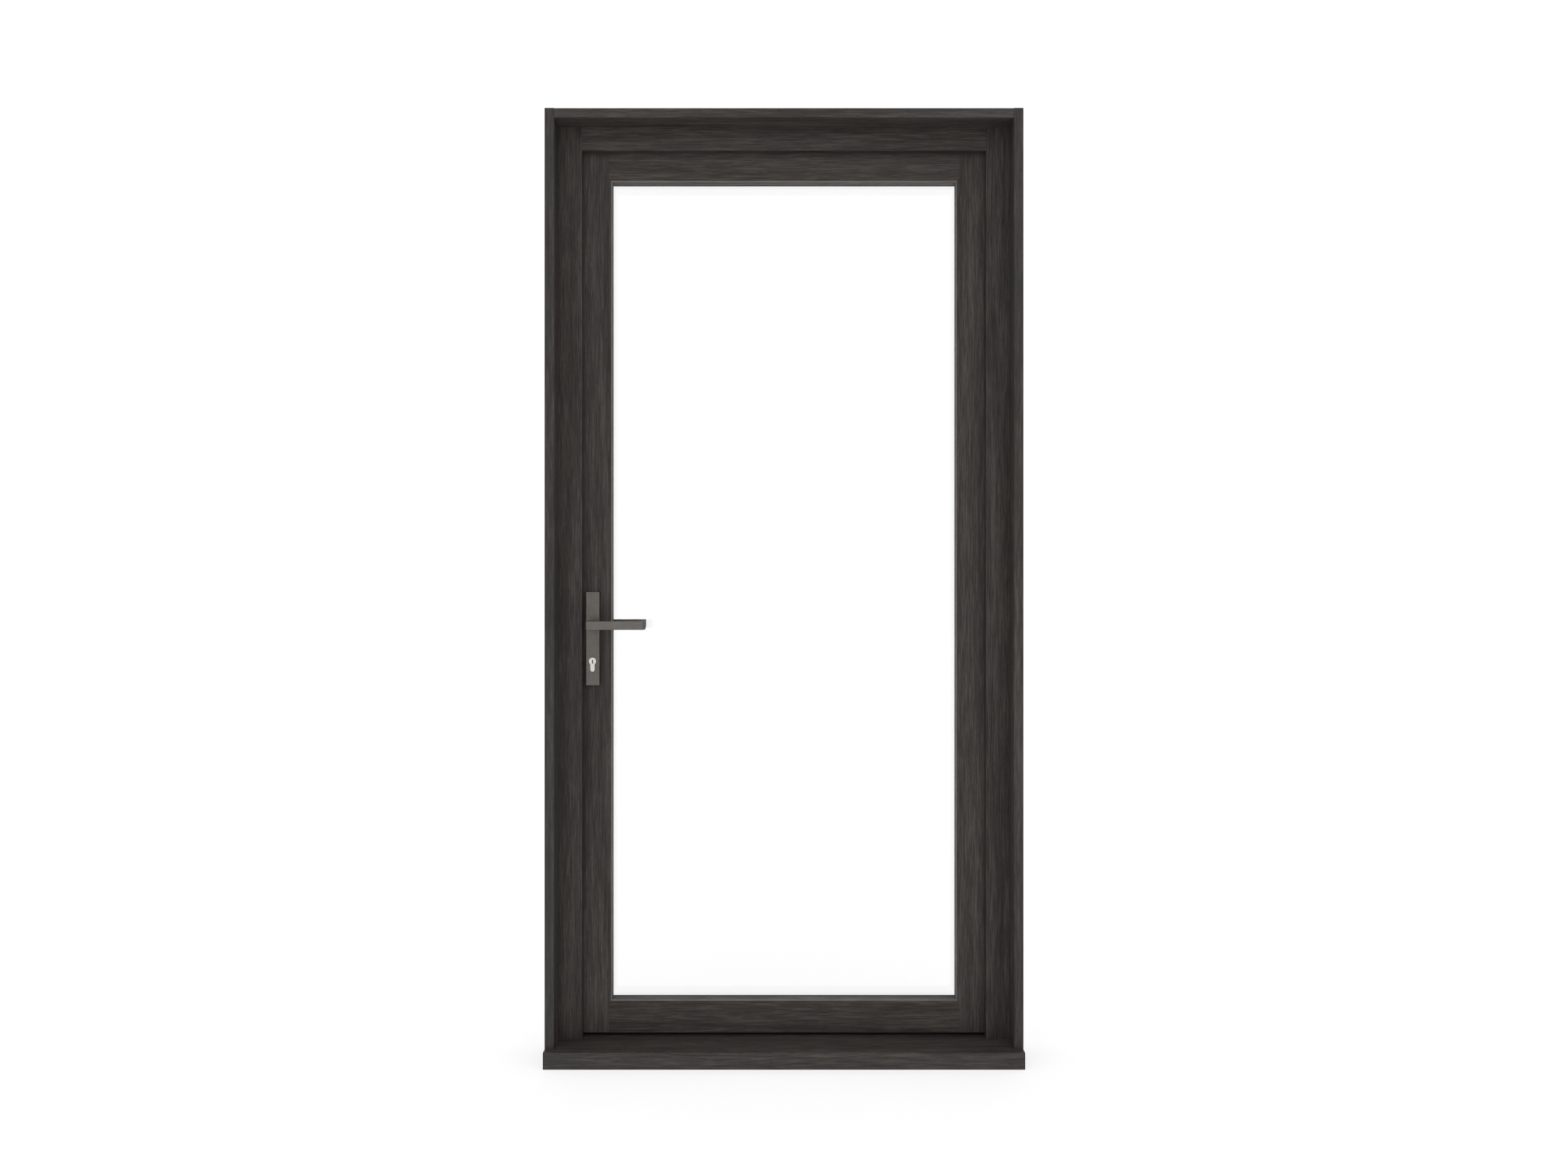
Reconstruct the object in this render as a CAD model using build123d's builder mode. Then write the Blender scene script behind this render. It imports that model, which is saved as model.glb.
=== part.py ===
from build123d import *
import os
from math import acos, cos, pi, radians, sin, tan

os.makedirs("parts", exist_ok=True)

# A full-height glazed timber casement with its lining, sill, hinges and lock.
# X runs along the width, Y from the outside (low) to the inside (high), Z upwards.
# The origin is under the sill, midway along it, in the plane of the lining's outer edges.

# Overall size
WIDTH = 1100
HEIGHT = 2200

# Lining boards and sill
LINING_THICK = 22
LINING_DEPTH = 138
SILL_NOSE = 20
SILL_FRONT = 38
SILL_BACK = 42
SILL_SLOPE_END = 70
SILL_ARRIS = 3
DRIP_WIDTH = 6
DRIP_DEPTH = 6
LINING_ARRIS = 2

# Inner frame: jambs and head, rebated for the leaf
FRAME_Y = 60
STOP_DEPTH = 18
STOP_HALF = 473
STOP_TOP = 2123
REBATE_STEP = 15
STOP_ARRIS = 2
GROOVE_INSET = 4
GROOVE_WIDTH = 3
GROOVE_DEPTH = 4
STOP_GASKET_INSET = 1.5
STOP_GASKET_COVER = 8
THRESHOLD_SPAN_Y = (100, 134)
THRESHOLD_HEIGHT = 5
THRESHOLD_ROUND = 2

# Leaf
LEAF_Y = 80
LEAF_THICK = 78
LEAF_HALF = 482
LEAF_BOTTOM = 50
LEAF_TOP = 2132
LIP = 14
LIP_THICK = 17
SIGHT_HALF = 405
SIGHT_BOTTOM = 127.5
SIGHT_TOP = 2055.5
SIGHT_CHAMFER = 3
SIGHT_MOULD = 8
LEAF_ARRIS = 3
OUTER_LIP = 24
GLASS_REBATE = 24
BEAD_STEP = 9
BEAD_SPLAY = 8
BEAD_SPLAY_DEPTH = 17
SEAL_HALF = 6
SEAL_TONGUE_HALF = 2
SEAL_TONGUE = 5
SEAL_GAP = 0.4
OVERLAP_INSET = 1.5
OVERLAP_WIDTH = 5
OVERLAP_GAP = 0.4

# Glass unit: two panes, a spacer bar and an edge seal
PANE = 4
CAVITY = 20
GLASS_EDGE_GAP = 4
GASKET = 3
GASKET_RECESS = 1
SPACER_DEPTH = 6.5
SEAL_DEPTH = 5
BLOCK_HALF = 50
BLOCK_INSET = 100
BLOCK_RISE = 150

# Joints between rails, stiles, head and jambs
TENON_THICK = 14
TENON_LENGTH = 42
TENON_SHOULDER = 11
HEAD_TENON_LENGTH = 37
HEAD_TENON_BACK = 38
HEAD_TENON_LOW = 8
HEAD_TENON_HIGH = 10

# Fixing holes through the jambs into the wall
FIXING_Y = 92
FIXING_RADIUS = 4
FIXING_HEIGHTS = (200, 800, 1400, 2000)

# Hinges
HINGE_X = 506
HINGE_Y = 150
HINGE_HEIGHTS = {"lower": 290, "middle": 1090, "upper": 1890}
BARREL_RADIUS = 8
BARREL_ROUND = 2
KNUCKLE = 44
HINGE_GAP = 1
WASHER_INSET = 0.5
CAP_HEIGHT = 4
CAP_PLUG = 3
CAP_ROUND = 3
PIN_RADIUS = 4
PIN_FIT = 0.05
PIN_SHORT = 4
PIN_CHAMFER = 1
STUD_RADIUS = 4
STUD_PITCH = 23
STUD_INSET = 11
STUD_IN_JAMB = 40
STUD_IN_LEAF = 44
STUD_END_GAP = 1

# Handle, backplates and profile cylinder
HANDLE_X = -449.7
HANDLE_Z = 1011
CYLINDER_Z = 926
PLATE_WIDTH = 32
PLATE_THICK = 10
PLATE_BOTTOM = 869
PLATE_TOP = 1089
PLATE_CORNER = 1.5
PLATE_ARRIS = 1.2
LEVER_HEIGHT = 20
LEVER_THICK = 10
LEVER_REACH = 125
INNER_LEVER_REACH = 110
LEVER_STANDOFF = 50
LEVER_TIP_GAP = 5
LEVER_CORNER = 4.5
LEVER_INNER_CORNER = 3
LEVER_ARRIS = 1.2
NECK_WIDTH = 20
NECK_GAP = 0.4
COLLAR_RADIUS = 8
COLLAR_FIT = 0.06
COLLAR_LAP = 2
COLLAR_ROOM = 3
SPINDLE = 8
SPINDLE_SET_BACK = 25
BOLT_HEIGHTS = (880, 1074)
BOLT_RADIUS = 2.5
BOLT_HEAD = 4.8
BOLT_HEAD_DEPTH = 2.4
BOLT_ROOM = 0.5
BOLT_PAST_LEAF = 6
CYLINDER_ROUND = 17
CYLINDER_TAB = 10
CYLINDER_TALL = 33
CYLINDER_PROUD = 3
CYLINDER_ROOM = 2
CYLINDER_SCREW_LENGTH = 32
PLUG_RADIUS = 6.5
PLUG_FIT = 0.05
PLUG_PROUD = 0.5
KEYWAY_WIDTH = 2.4
KEYWAY_HEIGHT = 9
KEYWAY_DEPTH = 28
KEYWAY_DROP = 1

# Lock case, drive rail and faceplate
LOCK_Y = 119
FACE_WIDTH = 16
FACE_THICK = 2.5
FACE_BOTTOM = 290
FACE_TOP = 1920
RAIL_THICK = 3.3
RAIL_WIDTH = 15.4
RAIL_BOTTOM = 330
RAIL_TOP = 1870
CASE_BOTTOM = 892
CASE_TOP = 1056
CASE_BACK = -432.5
CASE_THICK = 18
CASE_WALL = 3
CASE_WEB = 2.4
RACK_TEETH = 7
RACK_BELOW = 4.5
BOLT_TEETH = 5
BOLT_RACK_AHEAD = 2.5
BOLT_RACK_END = 1.8
RAIL_LAP = 1
GEAR_MODULE = 1.5
PINION_TEETH = 15
CAM_TEETH = 9
GEAR_WIDTH = 10
GEAR_BACKLASH = 0.5
GEAR_TIP_GAP = 0.4
GEAR_END_GAP = 0.3
PINION_RACK_TIP = 1.2
CAM_RACK_TIP = 0.75
PRESSURE = radians(20)
FLANK_STEPS = 5
HUB_RADIUS = 8
KEY_TURN = radians(120)

# Locking points along the drive rail
CAM_HEIGHTS = (350, 760, 1330, 1850)
CAM_PIN = 3.5
CAM_HEAD = 5.5
CAM_HEAD_THICK = 2.5
CAM_PLAY = 1.5
CAM_ROOM = 2
CAM_HEAD_GAP = 0.5
SLOT_PLAY = 0.6
SCREW_SLOT_PLAY = 0.7
KEEP_THICK = 2.5
KEEP_HEIGHT = 66
KEEP_SHIFT = 2
KEEP_BACK_PLAY = 2
KEEP_SCREW_SPREAD = 27
KEEP_SCREW_LENGTH = 22
BOLT_BOTTOM = 940
BOLT_TOP = 966
BOLT_THICK = 8
BOLT_PLAY = 0.4
BOLT_SET_BACK = 0.3
BOLT_ROUND = 2
STRIKE_BOTTOM = 922
STRIKE_TOP = 984
STRIKE_HALF = 13
STRIKE_ROUND = 4
STRIKE_SCREW_INSET = 8
MOUTH_PLAY = 0.8
SCREW_RADIUS = 2
SCREW_HEAD = 4
SCREW_HEAD_DEPTH = 2
FACE_SCREWS = (303, 560, 1560, 1905)
FACE_SCREW_LENGTH = 28

# Clearance between pieces that don't bear on each other, and a tolerance for picking edges
CLEAR = 0.3
NEAR = 0.1

# Worked out from the sizes above
LINING_INNER = WIDTH / 2 - LINING_THICK
HEAD_UNDER = HEIGHT - LINING_THICK
REBATE_Y = FRAME_Y + STOP_DEPTH
REBATE_HALF = STOP_HALF + REBATE_STEP
REBATE_TOP = STOP_TOP + REBATE_STEP
LEAF_BACK = LEAF_Y + LEAF_THICK
LIP_Y = LEAF_BACK - LIP_THICK
LIP_HALF = LEAF_HALF + LIP
GLASS_Y = LEAF_Y + OUTER_LIP
PANE_Y = GLASS_Y + GASKET
UNIT_BACK = PANE_Y + 2 * PANE + CAVITY
BEAD_Y = UNIT_BACK + GASKET
GLASS_SET = GLASS_REBATE - GLASS_EDGE_GAP
SHOULDER = SIGHT_HALF + SIGHT_MOULD
LEVER_Y = LEAF_Y - PLATE_THICK - LEVER_STANDOFF
NECK_LEFT = HANDLE_X - NECK_WIDTH / 2
PITCH = pi * GEAR_MODULE
PINION_PITCH_RADIUS = GEAR_MODULE * PINION_TEETH / 2
CAM_PITCH_RADIUS = GEAR_MODULE * CAM_TEETH / 2
RAIL_TRAVEL = PINION_PITCH_RADIUS * pi / 2
BOLT_TRAVEL = CAM_PITCH_RADIUS * KEY_TURN
FACE_INNER = -LEAF_HALF + FACE_THICK
RAIL_OUTER = FACE_INNER + CLEAR
RAIL_INNER = RAIL_OUTER + RAIL_THICK
GROOVE_BASE = RAIL_INNER + BOLT_PLAY
FACE_SPAN_Y = (LOCK_Y - FACE_WIDTH / 2, LOCK_Y + FACE_WIDTH / 2)
CASE_SPAN_Y = (LOCK_Y - CASE_THICK / 2, LOCK_Y + CASE_THICK / 2)
GEAR_SPAN_Y = (LOCK_Y - GEAR_WIDTH / 2, LOCK_Y + GEAR_WIDTH / 2)
BRIDGE_TOP = CYLINDER_Z - CYLINDER_ROUND / 2 - CLEAR
CYLINDER_BOTTOM = CYLINDER_Z + CYLINDER_ROUND / 2 - CYLINDER_TALL
CYLINDER_SCREW_Z = (CYLINDER_BOTTOM + BRIDGE_TOP) / 2
CYLINDER_SPAN_Y = (LEAF_Y - PLATE_THICK - CYLINDER_PROUD, LEAF_BACK + PLATE_THICK + CYLINDER_PROUD)
CAM_SPAN_Y = (GEAR_SPAN_Y[0] + GEAR_END_GAP, GEAR_SPAN_Y[1] - GEAR_END_GAP)
RACK_X = HANDLE_X - PINION_PITCH_RADIUS
RACK_ROOT = GEAR_MODULE + GEAR_TIP_GAP
PLATE_FACE = LEAF_Y - PLATE_THICK
SPINDLE_X = (HANDLE_X - SPINDLE / 2, HANDLE_X + SPINDLE / 2)
SPINDLE_Y = LEVER_Y + SPINDLE_SET_BACK
SPINDLE_Z = (HANDLE_Z - SPINDLE / 2, HANDLE_Z + SPINDLE / 2)
SEAL_Y = (LOCK_Y - SEAL_HALF, LOCK_Y + SEAL_HALF)
SEAL_TONGUE_Y = (LOCK_Y - SEAL_TONGUE_HALF, LOCK_Y + SEAL_TONGUE_HALF)
BEAD_HALF = SIGHT_HALF + GLASS_REBATE
BEAD_BOTTOM = SIGHT_BOTTOM - GLASS_REBATE
BEAD_TOP = SIGHT_TOP + GLASS_REBATE
UNIT_HALF = SIGHT_HALF + GLASS_SET
UNIT_SPAN = (SIGHT_BOTTOM - GLASS_SET, SIGHT_TOP + GLASS_SET)
HEAD_TENON_Y = (LINING_DEPTH - HEAD_TENON_BACK, LINING_DEPTH - HEAD_TENON_BACK + TENON_THICK)
HEAD_TENON_Z = (REBATE_TOP + HEAD_TENON_LOW, HEAD_UNDER - HEAD_TENON_HIGH)
GROOVE_OUTER = GROOVE_INSET + GROOVE_WIDTH
KEEP_FACE = -REBATE_HALF - KEEP_THICK
KEEP_FRONT_Y = 2 * (LOCK_Y + KEEP_SHIFT) - LINING_DEPTH


# Drawing helpers -------------------------------------------------------------

def facing(y):
    """Plane across the doorway at depth y, where local x is X and local y is Z."""
    return Plane.XZ.offset(-y)


def block(x, y, z, mode=Mode.ADD):
    """A box that fills the given (low, high) spans."""
    with BuildSketch(Plane.XY.offset(z[0])) as footprint:
        with Locations(((x[0] + x[1]) / 2, (y[0] + y[1]) / 2)):
            Rectangle(x[1] - x[0], y[1] - y[0])
    extrude(footprint.sketch, amount=z[1] - z[0], mode=mode)


def rod_x(x, y, z, radius, mode=Mode.ADD):
    """A round bar along X over the span x."""
    with BuildSketch(Plane.YZ.offset(x[0])) as section:
        with Locations((y, z)):
            Circle(radius)
    extrude(section.sketch, amount=x[1] - x[0], mode=mode)


def rod_y(x, y, z, radius, mode=Mode.ADD):
    """A round bar along Y over the span y."""
    with BuildSketch(facing(y[0])) as section:
        with Locations((x, z)):
            Circle(radius)
    extrude(section.sketch, amount=y[0] - y[1], mode=mode)


def rod_z(x, y, z, radius, mode=Mode.ADD):
    """A round bar along Z over the span z."""
    with BuildSketch(Plane.XY.offset(z[0])) as section:
        with Locations((x, y)):
            Circle(radius)
    extrude(section.sketch, amount=z[1] - z[0], mode=mode)


def slot_x(x, y, z, width, mode=Mode.SUBTRACT):
    """A round-ended slot through the span x, standing upright over the span z."""
    with BuildSketch(Plane.YZ.offset(x[0])) as section:
        with Locations((y, (z[0] + z[1]) / 2)):
            SlotOverall(z[1] - z[0], width, rotation=90)
    extrude(section.sketch, amount=x[1] - x[0], mode=mode)


def prism(points, y, mode=Mode.ADD):
    """A polygon drawn across the doorway and extruded over the span y."""
    with BuildSketch(facing(y[0])) as outline:
        with BuildLine():
            Polyline(*points, close=True)
        make_face()
    extrude(outline.sketch, amount=y[0] - y[1], mode=mode)


def clip(points):
    """Keep only what lies inside a polygon drawn across the doorway."""
    prism(points, (-SILL_NOSE, LEAF_BACK + SILL_NOSE), mode=Mode.INTERSECT)


def ring(half, z, inset, y, mode=Mode.ADD):
    """A rectangular hoop across the doorway, `inset` wide on all four sides."""
    with BuildSketch(facing(y[0])) as section:
        with Locations((0, (z[0] + z[1]) / 2)):
            Rectangle(2 * half, z[1] - z[0])
            Rectangle(2 * (half - inset), z[1] - z[0] - 2 * inset, mode=Mode.SUBTRACT)
    extrude(section.sketch, amount=y[0] - y[1], mode=mode)


def screw(origin, direction, length, mode=Mode.ADD, radius=SCREW_RADIUS, head=SCREW_HEAD,
          head_depth=SCREW_HEAD_DEPTH):
    """A countersunk screw with its head flush at origin, or the hole that takes it."""
    stand = (Align.CENTER, Align.CENTER, Align.MIN)
    with Locations(Plane(origin=origin, z_dir=direction)):
        Cone(head, radius, head_depth, align=stand, mode=mode)
        Cylinder(radius, length, align=stand, mode=mode)


def profile_section(grow):
    """Cross-section of the profile cylinder, made larger all round by grow."""
    tab_end = CYLINDER_Z + (CYLINDER_ROUND + CYLINDER_TAB) / 2 - CYLINDER_TALL
    with BuildSketch() as section:
        with Locations((HANDLE_X, CYLINDER_Z)):
            Circle(CYLINDER_ROUND / 2 + grow)
        with Locations((HANDLE_X, tab_end)):
            Circle(CYLINDER_TAB / 2 + grow)
        with Locations((HANDLE_X, (CYLINDER_Z + tab_end) / 2)):
            Rectangle(CYLINDER_TAB + 2 * grow, CYLINDER_Z - tab_end)
    return section.sketch


def profile_bar(y, grow=0, mode=Mode.ADD):
    """The profile cylinder's section extruded over the span y."""
    with BuildSketch(facing(y[0])) as section:
        add(profile_section(grow))
    extrude(section.sketch, amount=y[0] - y[1], mode=mode)


def gear_points(teeth, centre, toward, root_cut):
    """Outline of an involute gear with one tooth pointing along the angle `toward`."""
    pitch_radius = GEAR_MODULE * teeth / 2
    base = pitch_radius * cos(PRESSURE)
    tip = pitch_radius + GEAR_MODULE
    root = pitch_radius - root_cut
    half_tooth = (PITCH / 2 - GEAR_BACKLASH) / (2 * pitch_radius) + tan(PRESSURE) - PRESSURE
    flank = [(root, half_tooth)] if root < base else []
    start = max(root, base)
    for step in range(FLANK_STEPS + 1):
        radius = start + (tip - start) * step / FLANK_STEPS
        roll = acos(min(1, base / radius))
        flank.append((radius, half_tooth - tan(roll) + roll))
    tooth = [(r, -a) for r, a in flank] + [(r, a) for r, a in reversed(flank)]
    points = []
    for number in range(teeth):
        turn = toward + 2 * pi * number / teeth
        for radius, angle in tooth:
            across = radius * cos(turn + angle)
            up = radius * sin(turn + angle)
            points.append((centre[0] + across, centre[1] + up))
    return points


def rack_tooth(along, root_cut, tip_rise):
    """Corners of one rack tooth as (distance along the rack, height above its pitch line)."""
    half = (PITCH / 2 - GEAR_BACKLASH) / 2
    at_root = half + root_cut * tan(PRESSURE)
    at_tip = half - tip_rise * tan(PRESSURE)
    return [(along - at_root, -root_cut), (along - at_tip, tip_rise),
            (along + at_tip, tip_rise), (along + at_root, -root_cut)]


def save(builder, name):
    """Label a finished piece and write it to its own file."""
    builder.part.label = name
    export_step(builder.part, f"parts/{name}.step")


# Sill and lining boards ------------------------------------------------------

with BuildPart() as sill:
    with BuildSketch(Plane.YZ) as sill_section:
        with BuildLine():
            Polyline((-SILL_NOSE, 0), (-SILL_NOSE, SILL_FRONT), (0, SILL_FRONT),
                     (SILL_SLOPE_END, SILL_BACK), (LINING_DEPTH, SILL_BACK), (LINING_DEPTH, 0),
                     close=True)
        make_face()
        fillet(sill_section.vertices().group_by(Axis.X)[0].sort_by(Axis.Y)[-1], SILL_ARRIS)
    extrude(amount=WIDTH / 2, both=True)
    drip = (-(SILL_NOSE + DRIP_WIDTH) / 2, -(SILL_NOSE - DRIP_WIDTH) / 2)
    block((-WIDTH / 2, WIDTH / 2), drip, (0, DRIP_DEPTH), mode=Mode.SUBTRACT)
save(sill, "sill")


def fixing_holes(x):
    """Holes for the wall fixings, over the span x."""
    for height in FIXING_HEIGHTS:
        rod_x(x, FIXING_Y, height, FIXING_RADIUS, mode=Mode.SUBTRACT)


for side, outer_x in (("left", -WIDTH / 2), ("right", WIDTH / 2)):
    inner_x = outer_x * LINING_INNER / (WIDTH / 2)
    span = (min(outer_x, inner_x), max(outer_x, inner_x))
    with BuildPart() as lining:
        block(span, (0, LINING_DEPTH), (SILL_FRONT / 2, HEIGHT))
        add(sill.part, mode=Mode.SUBTRACT)
        fillet(lining.edges().filter_by(Axis.Z).group_by(Axis.Y)[0], LINING_ARRIS)
        fixing_holes(span)
    save(lining, f"lining_{side}")

with BuildPart() as lining_head:
    block((-LINING_INNER, LINING_INNER), (0, LINING_DEPTH), (HEAD_UNDER, HEIGHT))
    fillet(lining_head.edges().filter_by(Axis.X).group_by(Axis.Y)[0], LINING_ARRIS)
save(lining_head, "lining_head")

# Inner frame -----------------------------------------------------------------


def is_stop_arris(edge):
    """True for the edges of the doorway's own outline, above the sill."""
    middle = edge.center()
    return abs(middle.X) < STOP_HALF + 1 and SILL_FRONT < middle.Z < STOP_TOP + 1


with BuildPart() as inner_frame:
    block((-LINING_INNER, LINING_INNER), (FRAME_Y, LINING_DEPTH), (SILL_FRONT / 2, HEAD_UNDER))
    block((-STOP_HALF, STOP_HALF), (FRAME_Y, LINING_DEPTH), (0, STOP_TOP), mode=Mode.SUBTRACT)
    block((-REBATE_HALF, REBATE_HALF), (REBATE_Y, LINING_DEPTH), (0, REBATE_TOP), mode=Mode.SUBTRACT)
    front_edges = inner_frame.edges().filter_by_position(Axis.Y, FRAME_Y - NEAR, FRAME_Y + NEAR)
    fillet(front_edges.filter_by(is_stop_arris), STOP_ARRIS)


def head_tenons(mode):
    """The tenons at both ends of the head, or the mortises that take them."""
    for sign in (-1, 1):
        ends = sorted((sign * STOP_HALF, sign * (STOP_HALF + HEAD_TENON_LENGTH)))
        block(ends, HEAD_TENON_Y, HEAD_TENON_Z, mode=mode)


def groove_for_stop_gasket(mode=Mode.SUBTRACT):
    """The groove in the stop's inner face that holds the stop gasket's tongue."""
    depth = (REBATE_Y - GROOVE_DEPTH, REBATE_Y)
    for sign in (-1, 1):
        ends = sorted((sign * (STOP_HALF + GROOVE_INSET), sign * (STOP_HALF + GROOVE_OUTER)))
        block(ends, depth, (SILL_BACK, STOP_TOP + GROOVE_OUTER), mode=mode)
    block((-STOP_HALF - GROOVE_OUTER, STOP_HALF + GROOVE_OUTER), depth,
          (STOP_TOP + GROOVE_INSET, STOP_TOP + GROOVE_OUTER), mode=mode)


def keep_outline(cam_z):
    """A keep's face: a plate with a slot that the cam enters sideways and then climbs."""
    entry = CAM_PIN + CAM_PLAY
    top = RAIL_TRAVEL + entry
    with BuildSketch(Plane.YZ.offset(-REBATE_HALF)) as outline:
        with Locations((LOCK_Y + KEEP_SHIFT, cam_z + RAIL_TRAVEL / 2)):
            Rectangle(LINING_DEPTH - KEEP_FRONT_Y, KEEP_HEIGHT)
        with Locations((LOCK_Y, cam_z + (top - entry) / 2)):
            SlotOverall(top + entry, 2 * entry, rotation=90, mode=Mode.SUBTRACT)
        with Locations(((LOCK_Y + LINING_DEPTH) / 2, cam_z)):
            Rectangle(LINING_DEPTH - LOCK_Y, 2 * entry, mode=Mode.SUBTRACT)
    return outline.sketch


def keep_screw_heights(cam_z):
    """Heights of one keep's two screws."""
    middle = cam_z + RAIL_TRAVEL / 2
    return (middle - KEEP_SCREW_SPREAD, middle + KEEP_SCREW_SPREAD)


def jamb_screws(mode):
    """The screws of every keep and of the strike plate, or their holes."""
    for cam_z in CAM_HEIGHTS:
        for height in keep_screw_heights(cam_z):
            screw((-REBATE_HALF, LOCK_Y + KEEP_SHIFT, height), (-1, 0, 0), KEEP_SCREW_LENGTH, mode=mode)
    for height in (STRIKE_BOTTOM + STRIKE_SCREW_INSET, STRIKE_TOP - STRIKE_SCREW_INSET):
        screw((-REBATE_HALF, LOCK_Y, height), (-1, 0, 0), KEEP_SCREW_LENGTH, mode=mode)


def strike_plate(mode):
    """The plate that the deadbolt enters, or its bed in the jamb."""
    block((KEEP_FACE, -REBATE_HALF), (LOCK_Y - STRIKE_HALF, LOCK_Y + STRIKE_HALF),
          (STRIKE_BOTTOM, STRIKE_TOP), mode=mode)


def strike_mouth(depth):
    """The hole that the deadbolt enters, to a depth behind the rebate."""
    half = BOLT_THICK / 2 + MOUTH_PLAY
    block((-REBATE_HALF - depth, -REBATE_HALF), (LOCK_Y - half, LOCK_Y + half),
          (BOLT_BOTTOM - MOUTH_PLAY, BOLT_TOP + MOUTH_PLAY), mode=Mode.SUBTRACT)


with BuildPart() as jamb_lock:
    add(inner_frame.part)
    clip([(-LINING_INNER, 0), (-STOP_HALF, 0), (-STOP_HALF, HEIGHT), (-LINING_INNER, HEIGHT)])
    add(sill.part, mode=Mode.SUBTRACT)
    head_tenons(Mode.SUBTRACT)
    groove_for_stop_gasket()
    fixing_holes((-LINING_INNER, -STOP_HALF))
    for cam_z in CAM_HEIGHTS:
        middle = cam_z + RAIL_TRAVEL / 2
        head_room = CAM_HEAD + CAM_ROOM
        block((KEEP_FACE, -REBATE_HALF), (KEEP_FRONT_Y, LINING_DEPTH),
              (middle - KEEP_HEIGHT / 2, middle + KEEP_HEIGHT / 2), mode=Mode.SUBTRACT)
        block((KEEP_FACE - CAM_HEAD_THICK - KEEP_BACK_PLAY, -REBATE_HALF),
              (LOCK_Y - head_room, LINING_DEPTH),
              (cam_z - head_room, cam_z + RAIL_TRAVEL + head_room), mode=Mode.SUBTRACT)
    strike_plate(Mode.SUBTRACT)
    strike_mouth(BOLT_TRAVEL)
    jamb_screws(Mode.SUBTRACT)
save(jamb_lock, "jamb_lock")

with BuildPart() as jamb_hinge:
    add(inner_frame.part)
    clip([(LINING_INNER, 0), (STOP_HALF, 0), (STOP_HALF, HEIGHT), (LINING_INNER, HEIGHT)])
    add(sill.part, mode=Mode.SUBTRACT)
    head_tenons(Mode.SUBTRACT)
    groove_for_stop_gasket()
    fixing_holes((STOP_HALF, LINING_INNER))
    for height in HINGE_HEIGHTS.values():
        for drop in (STUD_INSET, STUD_INSET + STUD_PITCH):
            rod_y(HINGE_X, (LINING_DEPTH - STUD_IN_JAMB, LINING_DEPTH), height - HINGE_GAP - drop,
                  STUD_RADIUS, mode=Mode.SUBTRACT)
save(jamb_hinge, "jamb_hinge")

with BuildPart() as frame_head:
    add(inner_frame.part)
    clip([(-STOP_HALF, 0), (STOP_HALF, 0), (STOP_HALF, HEIGHT), (-STOP_HALF, HEIGHT)])
    head_tenons(Mode.ADD)
    groove_for_stop_gasket()
save(frame_head, "frame_head")

with BuildPart() as stop_gasket:
    pad_y = (REBATE_Y, LEAF_Y - CLEAR)
    pad_half = STOP_HALF + STOP_GASKET_COVER
    for sign in (-1, 1):
        pad = sorted((sign * (STOP_HALF + STOP_GASKET_INSET), sign * pad_half))
        block(pad, pad_y, (SILL_BACK, STOP_TOP + STOP_GASKET_COVER))
    block((-pad_half, pad_half), pad_y, (STOP_TOP + STOP_GASKET_INSET, STOP_TOP + STOP_GASKET_COVER))
    groove_for_stop_gasket(mode=Mode.ADD)
save(stop_gasket, "stop_gasket")

with BuildPart() as threshold_bar:
    block((-REBATE_HALF, REBATE_HALF), THRESHOLD_SPAN_Y, (SILL_BACK, SILL_BACK + THRESHOLD_HEIGHT))
    fillet(threshold_bar.edges().filter_by(Axis.X).group_by(Axis.Z)[-1], THRESHOLD_ROUND)
save(threshold_bar, "threshold_bar")

with BuildPart() as lock_keeps:
    for cam_z in CAM_HEIGHTS:
        extrude(keep_outline(cam_z), amount=-KEEP_THICK)
    jamb_screws(Mode.SUBTRACT)
save(lock_keeps, "lock_keeps")

with BuildPart() as deadbolt_strike:
    strike_plate(Mode.ADD)
    fillet(deadbolt_strike.edges().filter_by(Axis.X), STRIKE_ROUND)
    strike_mouth(KEEP_THICK)
    jamb_screws(Mode.SUBTRACT)
save(deadbolt_strike, "deadbolt_strike")

with BuildPart() as keep_screws:
    jamb_screws(Mode.ADD)
save(keep_screws, "keep_screws")

# Leaf: stiles, rails and beads ------------------------------------------------

with BuildPart() as leaf_frame:
    block((-LEAF_HALF, LEAF_HALF), (LEAF_Y, LEAF_BACK), (LEAF_BOTTOM, LEAF_TOP))
    block((-LIP_HALF, LIP_HALF), (LIP_Y, LEAF_BACK), (LEAF_BOTTOM - LIP, LEAF_TOP + LIP))
    fillet(leaf_frame.faces().sort_by(Axis.Y)[-1].edges(), LEAF_ARRIS)
    block((-SIGHT_HALF, SIGHT_HALF), (LEAF_Y, LEAF_BACK), (SIGHT_BOTTOM, SIGHT_TOP), mode=Mode.SUBTRACT)
    chamfer(leaf_frame.faces().sort_by(Axis.Y)[0].inner_wires()[0].edges(), SIGHT_CHAMFER)
    block((-BEAD_HALF, BEAD_HALF), (GLASS_Y, LEAF_BACK), (BEAD_BOTTOM, BEAD_TOP), mode=Mode.SUBTRACT)


def leaf_tenons(top, mode):
    """The tenons at both ends of one rail, or the mortises that take them."""
    if top:
        span = (BEAD_TOP + TENON_SHOULDER, LEAF_TOP - TENON_SHOULDER)
    else:
        span = (LEAF_BOTTOM + TENON_SHOULDER, BEAD_BOTTOM - TENON_SHOULDER)
    for sign in (-1, 1):
        ends = sorted((sign * SHOULDER, sign * (SHOULDER + TENON_LENGTH)))
        block(ends, (LOCK_Y - TENON_THICK / 2, LOCK_Y + TENON_THICK / 2), span, mode=mode)


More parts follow.
